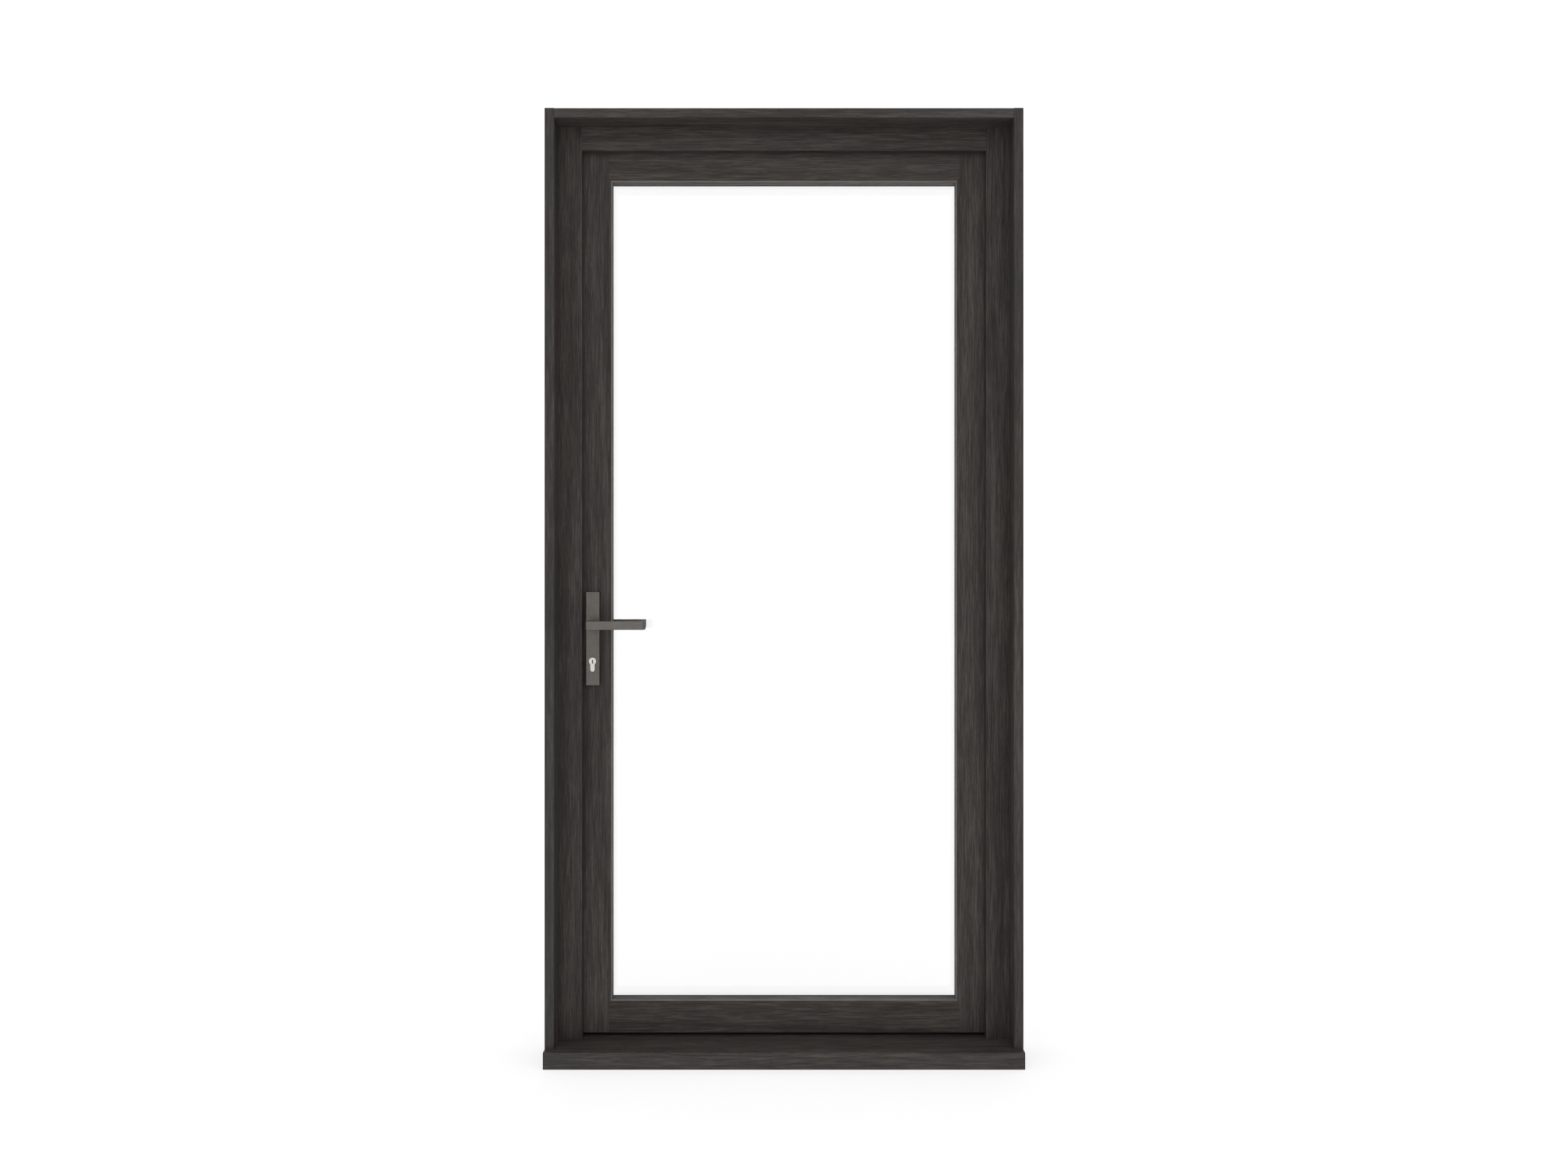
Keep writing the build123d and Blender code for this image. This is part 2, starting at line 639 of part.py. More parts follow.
def stile_region(sign):
    """The part of the leaf that one stile fills, mitred across the sight-line moulding."""
    return [(sign * LIP_HALF, 0), (sign * LIP_HALF, HEIGHT), (sign * SHOULDER, HEIGHT),
            (sign * SHOULDER, SIGHT_TOP + SIGHT_MOULD), (sign * SIGHT_HALF, SIGHT_TOP),
            (sign * SIGHT_HALF, SIGHT_BOTTOM), (sign * SHOULDER, SIGHT_BOTTOM - SIGHT_MOULD),
            (sign * SHOULDER, 0)]


def rail_region(edge, far):
    """The part of the leaf that one rail fills, from its sight line to beyond the leaf."""
    step = SIGHT_MOULD if far > edge else -SIGHT_MOULD
    return [(-SHOULDER, far), (SHOULDER, far), (SHOULDER, edge + step), (SIGHT_HALF, edge),
            (-SIGHT_HALF, edge), (-SHOULDER, edge + step)]


def faceplate_screws_at(mode):
    """The faceplate's screws, or their holes."""
    for height in FACE_SCREWS:
        screw((-LEAF_HALF, LOCK_Y, height), (1, 0, 0), FACE_SCREW_LENGTH, mode=mode)


def cylinder_screw_at(mode):
    """The screw through the lock's edge that holds the profile cylinder, or its hole."""
    screw((-LEAF_HALF, LOCK_Y, CYLINDER_SCREW_Z), (1, 0, 0), CYLINDER_SCREW_LENGTH, mode=mode,
          radius=BOLT_RADIUS, head=BOLT_HEAD, head_depth=BOLT_HEAD_DEPTH)


with BuildPart() as stile_lock:
    add(leaf_frame.part)
    clip(stile_region(-1))
    leaf_tenons(True, Mode.SUBTRACT)
    leaf_tenons(False, Mode.SUBTRACT)
    block((-LEAF_HALF, GROOVE_BASE), FACE_SPAN_Y, (FACE_BOTTOM, FACE_TOP), mode=Mode.SUBTRACT)
    block((RAIL_OUTER, CASE_BACK), CASE_SPAN_Y, (CASE_BOTTOM, CASE_TOP), mode=Mode.SUBTRACT)
    rod_y(HANDLE_X, (LEAF_Y, LEAF_BACK), HANDLE_Z, COLLAR_RADIUS + COLLAR_ROOM, mode=Mode.SUBTRACT)
    profile_bar((LEAF_Y, LEAF_BACK), grow=CYLINDER_ROOM, mode=Mode.SUBTRACT)
    for height in BOLT_HEIGHTS:
        rod_y(HANDLE_X, (LEAF_Y, LEAF_BACK), height, BOLT_RADIUS + BOLT_ROOM, mode=Mode.SUBTRACT)
    faceplate_screws_at(Mode.SUBTRACT)
save(stile_lock, "stile_lock")

with BuildPart() as stile_hinge:
    add(leaf_frame.part)
    clip(stile_region(1))
    leaf_tenons(True, Mode.SUBTRACT)
    leaf_tenons(False, Mode.SUBTRACT)
    for height in HINGE_HEIGHTS.values():
        for rise in (STUD_INSET, STUD_INSET + STUD_PITCH):
            rod_x((LIP_HALF - STUD_IN_LEAF, LIP_HALF), HINGE_Y, height + HINGE_GAP + rise,
                  STUD_RADIUS, mode=Mode.SUBTRACT)
save(stile_hinge, "stile_hinge")

with BuildPart() as rail_top:
    add(leaf_frame.part)
    clip(rail_region(SIGHT_TOP, HEIGHT))
    leaf_tenons(True, Mode.ADD)
save(rail_top, "rail_top")


def seal_tongue(mode):
    """The bottom seal's tongue, or its groove under the bottom rail."""
    block((-SHOULDER, SHOULDER), SEAL_TONGUE_Y, (LEAF_BOTTOM, LEAF_BOTTOM + SEAL_TONGUE), mode=mode)


with BuildPart() as rail_bottom:
    add(leaf_frame.part)
    clip(rail_region(SIGHT_BOTTOM, 0))
    leaf_tenons(False, Mode.ADD)
    seal_tongue(Mode.SUBTRACT)
save(rail_bottom, "rail_bottom")

with BuildPart() as bottom_seal:
    seal_low = SILL_BACK + THRESHOLD_HEIGHT + SEAL_GAP
    block((-LEAF_HALF + SEAL_TONGUE_HALF, LEAF_HALF - SEAL_TONGUE_HALF), SEAL_Y, (seal_low, LEAF_BOTTOM))
    seal_tongue(Mode.ADD)
save(bottom_seal, "bottom_seal")

with BuildPart() as bead_hoop:
    ring(BEAD_HALF, (BEAD_BOTTOM, BEAD_TOP), GLASS_REBATE - BEAD_STEP, (BEAD_Y, LEAF_BACK))
    back = bead_hoop.faces().sort_by(Axis.Y)[-1]
    chamfer(back.inner_wires()[0].edges(), BEAD_SPLAY, BEAD_SPLAY_DEPTH, reference=back)

BEAD_CORNERS = {
    "left": [(-BEAD_HALF, BEAD_BOTTOM), (-BEAD_HALF, BEAD_TOP), (-SIGHT_HALF, SIGHT_TOP),
             (-SIGHT_HALF, SIGHT_BOTTOM)],
    "right": [(BEAD_HALF, BEAD_BOTTOM), (BEAD_HALF, BEAD_TOP), (SIGHT_HALF, SIGHT_TOP),
              (SIGHT_HALF, SIGHT_BOTTOM)],
    "top": [(-BEAD_HALF, BEAD_TOP), (BEAD_HALF, BEAD_TOP), (SIGHT_HALF, SIGHT_TOP),
            (-SIGHT_HALF, SIGHT_TOP)],
    "bottom": [(-BEAD_HALF, BEAD_BOTTOM), (BEAD_HALF, BEAD_BOTTOM), (SIGHT_HALF, SIGHT_BOTTOM),
               (-SIGHT_HALF, SIGHT_BOTTOM)],
}
for side, corners in BEAD_CORNERS.items():
    with BuildPart() as bead:
        add(bead_hoop.part)
        clip(corners)
    save(bead, f"glazing_bead_{side}")

# Glass unit and its gaskets ---------------------------------------------------

for side, front in (("outer", PANE_Y), ("inner", PANE_Y + PANE + CAVITY)):
    with BuildPart() as pane:
        block((-UNIT_HALF, UNIT_HALF), (front, front + PANE), UNIT_SPAN)
    save(pane, f"glass_{side}")

with BuildPart() as glass_spacer:
    ring(UNIT_HALF - SEAL_DEPTH, (UNIT_SPAN[0] + SEAL_DEPTH, UNIT_SPAN[1] - SEAL_DEPTH), SPACER_DEPTH,
         (PANE_Y + PANE, PANE_Y + PANE + CAVITY))
save(glass_spacer, "glass_spacer")

with BuildPart() as glass_edge_seal:
    ring(UNIT_HALF, UNIT_SPAN, SEAL_DEPTH, (PANE_Y + PANE, PANE_Y + PANE + CAVITY))
save(glass_edge_seal, "glass_edge_seal")

for side, front, cover in (("outer", GLASS_Y, GLASS_SET), ("inner", UNIT_BACK, GLASS_SET - BEAD_STEP)):
    with BuildPart() as gasket:
        ring(UNIT_HALF, UNIT_SPAN, cover - GASKET_RECESS, (front, front + GASKET))
    save(gasket, f"glazing_gasket_{side}")

with BuildPart() as setting_blocks:
    for centre_x in (-SIGHT_HALF + BLOCK_INSET, SIGHT_HALF - BLOCK_INSET):
        along = (centre_x - BLOCK_HALF, centre_x + BLOCK_HALF)
        block(along, (PANE_Y, UNIT_BACK), (BEAD_BOTTOM, UNIT_SPAN[0]))
    for centre_z in (SIGHT_BOTTOM + BLOCK_RISE, SIGHT_TOP - BLOCK_RISE):
        for sign in (-1, 1):
            ends = sorted((sign * UNIT_HALF, sign * BEAD_HALF))
            block(ends, (PANE_Y, UNIT_BACK), (centre_z - BLOCK_HALF, centre_z + BLOCK_HALF))
save(setting_blocks, "setting_blocks")

with BuildPart() as overlap_gasket:
    ring(LIP_HALF - OVERLAP_INSET, (LEAF_BOTTOM - LIP + OVERLAP_INSET, LEAF_TOP + LIP - OVERLAP_INSET),
         OVERLAP_WIDTH, (LINING_DEPTH + OVERLAP_GAP, LIP_Y))
save(overlap_gasket, "overlap_gasket")

# Hinges ------------------------------------------------------------------------

for position, height in HINGE_HEIGHTS.items():
    pin_low = height - HINGE_GAP - KNUCKLE + PIN_SHORT
    pin_high = height + KNUCKLE - PIN_SHORT
    with BuildPart() as frame_knuckle:
        rod_z(HINGE_X, HINGE_Y, (height - HINGE_GAP - KNUCKLE, height - HINGE_GAP), BARREL_RADIUS)
        fillet(frame_knuckle.edges().filter_by(GeomType.CIRCLE).sort_by(Axis.Z)[0], BARREL_ROUND)
        stud = (LINING_DEPTH - STUD_IN_JAMB, HINGE_Y - PIN_RADIUS - STUD_END_GAP)
        for drop in (STUD_INSET, STUD_INSET + STUD_PITCH):
            rod_y(HINGE_X, stud, height - HINGE_GAP - drop, STUD_RADIUS)
        rod_z(HINGE_X, HINGE_Y, (pin_low, height), PIN_RADIUS, mode=Mode.SUBTRACT)
    save(frame_knuckle, f"hinge_{position}_frame_knuckle")

    with BuildPart() as leaf_knuckle:
        rod_z(HINGE_X, HINGE_Y, (height + HINGE_GAP, height + HINGE_GAP + KNUCKLE), BARREL_RADIUS)
        stud = (LIP_HALF - STUD_IN_LEAF, HINGE_X - PIN_RADIUS - STUD_END_GAP)
        for rise in (STUD_INSET, STUD_INSET + STUD_PITCH):
            rod_x(stud, HINGE_Y, height + HINGE_GAP + rise, STUD_RADIUS)
        rod_z(HINGE_X, HINGE_Y, (height, height + HINGE_GAP + KNUCKLE), PIN_RADIUS + PIN_FIT,
              mode=Mode.SUBTRACT)
    save(leaf_knuckle, f"hinge_{position}_leaf_knuckle")

    with BuildPart() as hinge_pin:
        rod_z(HINGE_X, HINGE_Y, (pin_low, pin_high), PIN_RADIUS)
        chamfer(hinge_pin.edges().filter_by(GeomType.CIRCLE).sort_by(Axis.Z)[-1], PIN_CHAMFER)
    save(hinge_pin, f"hinge_{position}_pin")

with BuildPart() as hinge_washers:
    for height in HINGE_HEIGHTS.values():
        rod_z(HINGE_X, HINGE_Y, (height - HINGE_GAP, height + HINGE_GAP - CLEAR),
              BARREL_RADIUS - WASHER_INSET)
        rod_z(HINGE_X, HINGE_Y, (height - HINGE_GAP, height + HINGE_GAP), PIN_RADIUS, mode=Mode.SUBTRACT)
save(hinge_washers, "hinge_washers")

with BuildPart() as hinge_caps:
    for height in HINGE_HEIGHTS.values():
        top = height + HINGE_GAP + KNUCKLE
        rod_z(HINGE_X, HINGE_Y, (top, top + CAP_HEIGHT), BARREL_RADIUS)
        rod_z(HINGE_X, HINGE_Y, (top - CAP_PLUG, top), PIN_RADIUS + PIN_FIT)
        rim_z = top + CAP_HEIGHT
        rims = hinge_caps.edges().filter_by_position(Axis.Z, rim_z - NEAR, rim_z + NEAR)
        fillet(rims.filter_by(GeomType.CIRCLE), CAP_ROUND)
save(hinge_caps, "hinge_caps")

# Lock case, faceplate and drive rail ---------------------------------------------

with BuildPart() as gear_case:
    block((GROOVE_BASE, CASE_BACK), CASE_SPAN_Y, (CASE_BOTTOM, CASE_TOP))
    block((GROOVE_BASE, CASE_BACK - CASE_WEB), (CASE_SPAN_Y[0] + CASE_WALL, CASE_SPAN_Y[1] - CASE_WALL),
          (CASE_BOTTOM + CASE_WALL, CASE_TOP - CASE_WALL), mode=Mode.SUBTRACT)
    rod_y(HANDLE_X, CASE_SPAN_Y, HANDLE_Z, HUB_RADIUS + PIN_FIT, mode=Mode.SUBTRACT)
    profile_bar(CASE_SPAN_Y, grow=CLEAR, mode=Mode.SUBTRACT)
save(gear_case, "gear_case")

with BuildPart() as faceplate:
    block((-LEAF_HALF, FACE_INNER), FACE_SPAN_Y, (FACE_BOTTOM, FACE_TOP))
    for cam_z in CAM_HEIGHTS:
        reach = CAM_PIN + SLOT_PLAY
        slot_x((-LEAF_HALF, FACE_INNER), LOCK_Y, (cam_z - reach, cam_z + RAIL_TRAVEL + reach), 2 * reach)
    bolt_half = BOLT_THICK / 2 + BOLT_PLAY
    block((-LEAF_HALF, FACE_INNER), (LOCK_Y - bolt_half, LOCK_Y + bolt_half),
          (BOLT_BOTTOM - BOLT_PLAY, BOLT_TOP + BOLT_PLAY), mode=Mode.SUBTRACT)
    faceplate_screws_at(Mode.SUBTRACT)
    cylinder_screw_at(Mode.SUBTRACT)
save(faceplate, "faceplate")

with BuildPart() as faceplate_screws:
    faceplate_screws_at(Mode.ADD)
save(faceplate_screws, "faceplate_screws")

with BuildPart() as cylinder_screw:
    cylinder_screw_at(Mode.ADD)
save(cylinder_screw, "cylinder_screw")

RAIL_SPAN_X = (RAIL_OUTER, RAIL_INNER)


def rail_slot(height, screw_radius):
    """A slot that lets the rail climb past a screw at the given height."""
    reach = screw_radius + SCREW_SLOT_PLAY
    slot_x(RAIL_SPAN_X, LOCK_Y, (height - RAIL_TRAVEL - reach, height + reach), 2 * reach)


with BuildPart() as drive_rail:
    block(RAIL_SPAN_X, (LOCK_Y - RAIL_WIDTH / 2, LOCK_Y + RAIL_WIDTH / 2), (RAIL_BOTTOM, RAIL_TOP))
    bolt_half = BOLT_THICK / 2 + SLOT_PLAY
    block(RAIL_SPAN_X, (LOCK_Y - bolt_half, LOCK_Y + bolt_half),
          (BOLT_BOTTOM - RAIL_TRAVEL - SLOT_PLAY, BOLT_TOP + SLOT_PLAY), mode=Mode.SUBTRACT)
    rail_slot(CYLINDER_SCREW_Z, BOLT_RADIUS)
    for height in FACE_SCREWS[1:-1]:
        rail_slot(height, SCREW_RADIUS)
    rack_low = HANDLE_Z - RACK_BELOW * PITCH
    rack_span = (rack_low - PITCH / 2, rack_low + (RACK_TEETH - 0.5) * PITCH)
    block((RAIL_INNER - RAIL_LAP, RACK_X - RACK_ROOT), GEAR_SPAN_Y, rack_span)
    for number in range(RACK_TEETH):
        tooth = rack_tooth(rack_low + number * PITCH, RACK_ROOT, PINION_RACK_TIP)
        prism([(RACK_X + out, along) for along, out in tooth], GEAR_SPAN_Y)
save(drive_rail, "drive_rail")

with BuildPart() as locking_cams:
    head_x = KEEP_FACE - CAM_HEAD_GAP
    for cam_z in CAM_HEIGHTS:
        rod_x((head_x, RAIL_OUTER), LOCK_Y, cam_z, CAM_PIN)
        rod_x((head_x - CAM_HEAD_THICK, head_x), LOCK_Y, cam_z, CAM_HEAD)
save(locking_cams, "locking_cams")

with BuildPart() as drive_pinion:
    pinion_root = PINION_RACK_TIP + GEAR_TIP_GAP
    prism(gear_points(PINION_TEETH, (HANDLE_X, HANDLE_Z), pi, pinion_root), GEAR_SPAN_Y)
    rod_y(HANDLE_X, (CASE_SPAN_Y[0] + GEAR_END_GAP, CASE_SPAN_Y[1] - GEAR_END_GAP), HANDLE_Z, HUB_RADIUS)
    block(SPINDLE_X, CASE_SPAN_Y, SPINDLE_Z, mode=Mode.SUBTRACT)
save(drive_pinion, "drive_pinion")

# Profile cylinder and deadbolt -----------------------------------------------------

with BuildPart() as cylinder_body:
    profile_bar(CYLINDER_SPAN_Y)
    rod_y(HANDLE_X, CYLINDER_SPAN_Y, CYLINDER_Z, PLUG_RADIUS + PLUG_FIT, mode=Mode.SUBTRACT)
    block((HANDLE_X - CYLINDER_ROUND, HANDLE_X + CYLINDER_ROUND), GEAR_SPAN_Y,
          (BRIDGE_TOP, CYLINDER_Z + CYLINDER_ROUND), mode=Mode.SUBTRACT)
    cylinder_screw_at(Mode.SUBTRACT)
save(cylinder_body, "cylinder_body")

PLUG_ENDS = (CYLINDER_SPAN_Y[0] - PLUG_PROUD, CYLINDER_SPAN_Y[1] + PLUG_PROUD)
KEYWAY_X = (HANDLE_X - KEYWAY_WIDTH / 2, HANDLE_X + KEYWAY_WIDTH / 2)
KEYWAY_LOW = CYLINDER_Z - KEYWAY_DROP - KEYWAY_HEIGHT / 2

for side, span, mouth in (("outer", (PLUG_ENDS[0], CAM_SPAN_Y[0]), PLUG_ENDS[0]),
                          ("inner", (CAM_SPAN_Y[1], PLUG_ENDS[1]), PLUG_ENDS[1] - KEYWAY_DEPTH)):
    with BuildPart() as plug:
        rod_y(HANDLE_X, span, CYLINDER_Z, PLUG_RADIUS)
        block(KEYWAY_X, (mouth, mouth + KEYWAY_DEPTH), (KEYWAY_LOW, KEYWAY_LOW + KEYWAY_HEIGHT),
              mode=Mode.SUBTRACT)
    save(plug, f"cylinder_plug_{side}")

with BuildPart() as cylinder_cam:
    cam_root = CAM_RACK_TIP + GEAR_TIP_GAP
    prism(gear_points(CAM_TEETH, (HANDLE_X, CYLINDER_Z), pi / 2, cam_root), CAM_SPAN_Y)
save(cylinder_cam, "cylinder_cam")

with BuildPart() as deadbolt:
    bolt_span_y = (LOCK_Y - BOLT_THICK / 2, LOCK_Y + BOLT_THICK / 2)
    pitch_z = CYLINDER_Z + CAM_PITCH_RADIUS
    last_tooth = HANDLE_X + BOLT_RACK_AHEAD * PITCH
    first_tooth = last_tooth - (BOLT_TEETH - 1) * PITCH
    bolt_back = last_tooth + BOLT_RACK_END
    block((-LEAF_HALF + BOLT_SET_BACK, bolt_back), bolt_span_y, (BOLT_BOTTOM, BOLT_TOP))
    fillet(deadbolt.edges().filter_by(Axis.Z).group_by(Axis.X)[0], BOLT_ROUND)
    block((first_tooth - BOLT_RACK_END, bolt_back), bolt_span_y, (pitch_z + RACK_ROOT, BOLT_BOTTOM))
    for number in range(BOLT_TEETH):
        tooth = rack_tooth(last_tooth - number * PITCH, RACK_ROOT, CAM_RACK_TIP)
        prism([(along, pitch_z - out) for along, out in tooth], bolt_span_y)
save(deadbolt, "deadbolt")

# Backplates, levers and spindle ------------------------------------------------------


def plate_bolts_at(mode):
    """The bolts that draw the two backplates together, or the holes that take them."""
    for height in BOLT_HEIGHTS:
        screw((HANDLE_X, LEAF_BACK + PLATE_THICK, height), (0, -1, 0),
              LEAF_THICK + PLATE_THICK + BOLT_PAST_LEAF, mode=mode,
              radius=BOLT_RADIUS, head=BOLT_HEAD, head_depth=BOLT_HEAD_DEPTH)


PLATE_X = (HANDLE_X - PLATE_WIDTH / 2, HANDLE_X + PLATE_WIDTH / 2)

for side, span in (("outer", (PLATE_FACE, LEAF_Y)), ("inner", (LEAF_BACK, LEAF_BACK + PLATE_THICK))):
    with BuildPart() as backplate:
        block(PLATE_X, span, (PLATE_BOTTOM, PLATE_TOP))
        fillet(backplate.edges().filter_by(Axis.Y), PLATE_CORNER)
        front = backplate.faces().sort_by(Axis.Y)[0 if side == "outer" else -1]
        fillet(front.edges(), PLATE_ARRIS)
        rod_y(HANDLE_X, span, HANDLE_Z, COLLAR_RADIUS + COLLAR_FIT, mode=Mode.SUBTRACT)
        profile_bar(span, grow=CLEAR, mode=Mode.SUBTRACT)
        plate_bolts_at(Mode.SUBTRACT)
    save(backplate, f"backplate_{side}")

with BuildPart() as plate_bolts:
    plate_bolts_at(Mode.ADD)
save(plate_bolts, "plate_bolts")

def lever(reach):
    """The outer lever: neck, bar and return, with its collar and its seat for the spindle."""
    tip = HANDLE_X + reach
    bar_back = LEVER_Y + LEVER_THICK
    collar_end = LEAF_Y - COLLAR_LAP
    span_z = (HANDLE_Z - LEVER_HEIGHT / 2, HANDLE_Z + LEVER_HEIGHT / 2)
    with BuildPart() as handle:
        block((NECK_LEFT, tip), (LEVER_Y, bar_back), span_z)
        block((NECK_LEFT, NECK_LEFT + NECK_WIDTH), (LEVER_Y, PLATE_FACE - NECK_GAP), span_z)
        block((tip - LEVER_THICK, tip), (LEVER_Y, PLATE_FACE - LEVER_TIP_GAP), span_z)
        fillet(handle.edges().filter_by(Axis.Z).group_by(Axis.Y)[0], LEVER_CORNER)
        upright_edges = handle.edges().filter_by(Axis.Z)
        inner_corners = upright_edges.filter_by_position(Axis.Y, bar_back - NEAR, bar_back + NEAR)
        fillet(inner_corners, LEVER_INNER_CORNER)
        rims = handle.faces().sort_by(Axis.Z)
        fillet(rims[0].edges() + rims[-1].edges(), LEVER_ARRIS)
        rod_y(HANDLE_X, (PLATE_FACE - COLLAR_LAP, collar_end), HANDLE_Z, COLLAR_RADIUS)
        block(SPINDLE_X, (SPINDLE_Y, collar_end), SPINDLE_Z, mode=Mode.SUBTRACT)
    return handle


save(lever(LEVER_REACH), "lever_outer")

with BuildPart() as lever_inner:
    mirror(lever(INNER_LEVER_REACH).part, about=facing(LEAF_Y + LEAF_THICK / 2))
save(lever_inner, "lever_inner")

with BuildPart() as spindle:
    block(SPINDLE_X, (SPINDLE_Y, LEAF_Y + LEAF_BACK - SPINDLE_Y), SPINDLE_Z)
save(spindle, "spindle")
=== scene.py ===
"""A dark stained timber casement with clear glass, lever handles and its edge locking gear.

The working parts are read from model.glb. This script gives each its finish, and adds the pieces that are
too fine for it: a pale strip of painted highlight on the arris round the glass, the screws' driver recesses
and the levers' grub screws.
"""
from math import radians

import bmesh
import bpy
from mathutils import Matrix, Vector


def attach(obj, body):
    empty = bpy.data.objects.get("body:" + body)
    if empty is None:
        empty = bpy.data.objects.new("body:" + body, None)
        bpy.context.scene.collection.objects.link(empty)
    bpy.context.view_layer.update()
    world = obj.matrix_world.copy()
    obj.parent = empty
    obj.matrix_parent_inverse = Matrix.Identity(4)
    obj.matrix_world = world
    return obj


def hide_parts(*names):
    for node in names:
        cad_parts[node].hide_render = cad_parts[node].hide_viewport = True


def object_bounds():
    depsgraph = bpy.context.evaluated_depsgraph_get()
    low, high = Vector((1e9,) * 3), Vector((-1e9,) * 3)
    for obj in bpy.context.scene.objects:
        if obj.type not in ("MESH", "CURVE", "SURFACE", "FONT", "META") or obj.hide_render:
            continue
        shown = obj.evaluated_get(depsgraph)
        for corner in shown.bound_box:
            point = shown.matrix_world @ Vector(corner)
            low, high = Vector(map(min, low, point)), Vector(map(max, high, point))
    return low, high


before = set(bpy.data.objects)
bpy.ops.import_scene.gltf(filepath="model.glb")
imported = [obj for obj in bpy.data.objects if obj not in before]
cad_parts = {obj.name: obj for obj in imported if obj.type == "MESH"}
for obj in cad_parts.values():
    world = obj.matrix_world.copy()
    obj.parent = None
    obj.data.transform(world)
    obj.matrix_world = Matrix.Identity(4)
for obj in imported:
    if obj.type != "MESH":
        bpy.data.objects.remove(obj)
cad_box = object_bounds()

MM = 0.001

# Marks of the timber, each as its width across the board and its length along it, in mm
BAND = (27.78, 625)
STREAK = (3.03, 66.67)
PORE = (0.909, 16.67)
COOL_PATCH = (142.9, 500)

# Stain: where on the grain it lies deep, middling and light, and its colour there
GRAIN_DEEP = 0.37
GRAIN_MID = 0.5
GRAIN_LIGHT = 0.63
STAIN_DEEP = "241f1c"
STAIN_MID = "322d2a"
STAIN_LIGHT = "45403b"
STAIN_COOL = "2f3231"
STREAK_SHARE = 0.6
PORE_SHADE = 0.72
PORE_EDGE = (0.36, 0.46)
COOL_EDGE = (0.45, 0.62)
SHEEN_DULL = 0.66
SHEEN_SATIN = 0.5

# Metal: its brushed lines and blotches of soiling in mm, how much the soiling tells, and the gloss's spread
HAIRLINE = (0.3846, 25)
SOIL = (22.22, 22.22)
SOIL_SHARE = 0.3
GLOSS_SPREAD = 0.06

# The chamfer round the glass, on the leaf's outer face
SIGHT_HALF = 405 * MM
SIGHT_LOW = 127.5 * MM
SIGHT_HIGH = 2055.5 * MM
ARRIS = 3 * MM
LEAF_FACE = 80 * MM
ARRIS_SKIN = 0.12 * MM

# Countersunk screws, in shares of the head's radius
SHANK_SHARE = 0.5
POINT_SHARE = 0.15
RECESS_LENGTH = 1.25
RECESS_WIDTH = 0.26
RECESS_DEPTH = 0.9

# Grub screws in the undersides of the levers' necks
NECK_X = -449.7 * MM
LEVER_UNDER = 1001 * MM
GRUB_FROM_LEAF = 24 * MM
LEAF_BACK = 158 * MM
GRUB_RADIUS = 2.5 * MM
SOCKET_RADIUS = 1.45 * MM
GRUB_LENGTH = 3 * MM
GRUB_PROUD = 0.15 * MM

ROUND_SIDES = 32

# Dust on rubber and plastic lies in soft spots this many mm across.
DUST = (45.45, 45.45)

# Float glass: its slow waves in mm, and the share of square-on light that it throws back
GLASS_WAVE = (333.3, 333.3)
GLASS_SHEEN = 0.04

# The view from outside, and the pale studio round it
EYE = (0.0, -2.896, 1.098)
LENS = 28.97
SENSOR = 36
FLOOR_SIZE = 60
FLOOR_GAP = 0.5 * MM
FLOOR_GREY = 0.4
FLOOR_LIFT = 0.64
SKY_STRENGTH = 1.04


# Colours and nodes -----------------------------------------------------------

def linear(code):
    """Linear RGBA from an sRGB hex colour such as "3d3936"."""
    channels = [int(code[i:i + 2], 16) / 255 for i in (0, 2, 4)]
    return [c / 12.92 if c <= 0.04045 else ((c + 0.055) / 1.055) ** 2.4 for c in channels] + [1.0]


def add_node(tree, kind, inputs=None, stops=(), **settings):
    """Adds a shader node, sets its properties, and sets or links its inputs by name or number.

    A colour ramp also takes its stops, as (position, hex colour) pairs in rising order.
    """
    node = tree.nodes.new(kind)
    for name, value in settings.items():
        setattr(node, name, value)
    for name, value in (inputs or {}).items():
        socket = node.inputs[name]
        if isinstance(value, bpy.types.NodeSocket):
            tree.links.new(value, socket)
        else:
            socket.default_value = value
    for number, (position, code) in enumerate(stops):
        elements = node.color_ramp.elements
        element = elements[number] if number < len(elements) else elements.new(position)
        element.position = position
        element.color = linear(code)
    return node


def bare_material(name):
    """A node material with nothing in it yet, and its node tree."""
    material = bpy.data.materials.new(name)
    material.use_nodes = True
    material.node_tree.nodes.clear()
    return material, material.node_tree


def new_material(name):
    """A node material with a Principled shader wired to its output."""
    material, tree = bare_material(name)
    shader = add_node(tree, "ShaderNodeBsdfPrincipled")
    add_node(tree, "ShaderNodeOutputMaterial", {"Surface": shader.outputs["BSDF"]})
    return material, tree, shader


def stretched(tree, coords, along, size, seed=0.0, **noise):
    """Noise whose marks are size[0] mm across a piece and drawn out to size[1] mm along it."""
    width, length = size
    scale = [1 / (width * MM)] * 3
    scale["xyz".index(along)] = 1 / (length * MM)
    place = add_node(tree, "ShaderNodeMapping", {
        "Vector": coords, "Location": (seed, seed * 1.7, seed * 2.3), "Scale": scale})
    drawn = add_node(tree, "ShaderNodeTexNoise", {
        "Vector": place.outputs["Vector"], "Scale": 1.0, **noise})
    return drawn.outputs["Fac"]


# Materials -------------------------------------------------------------------

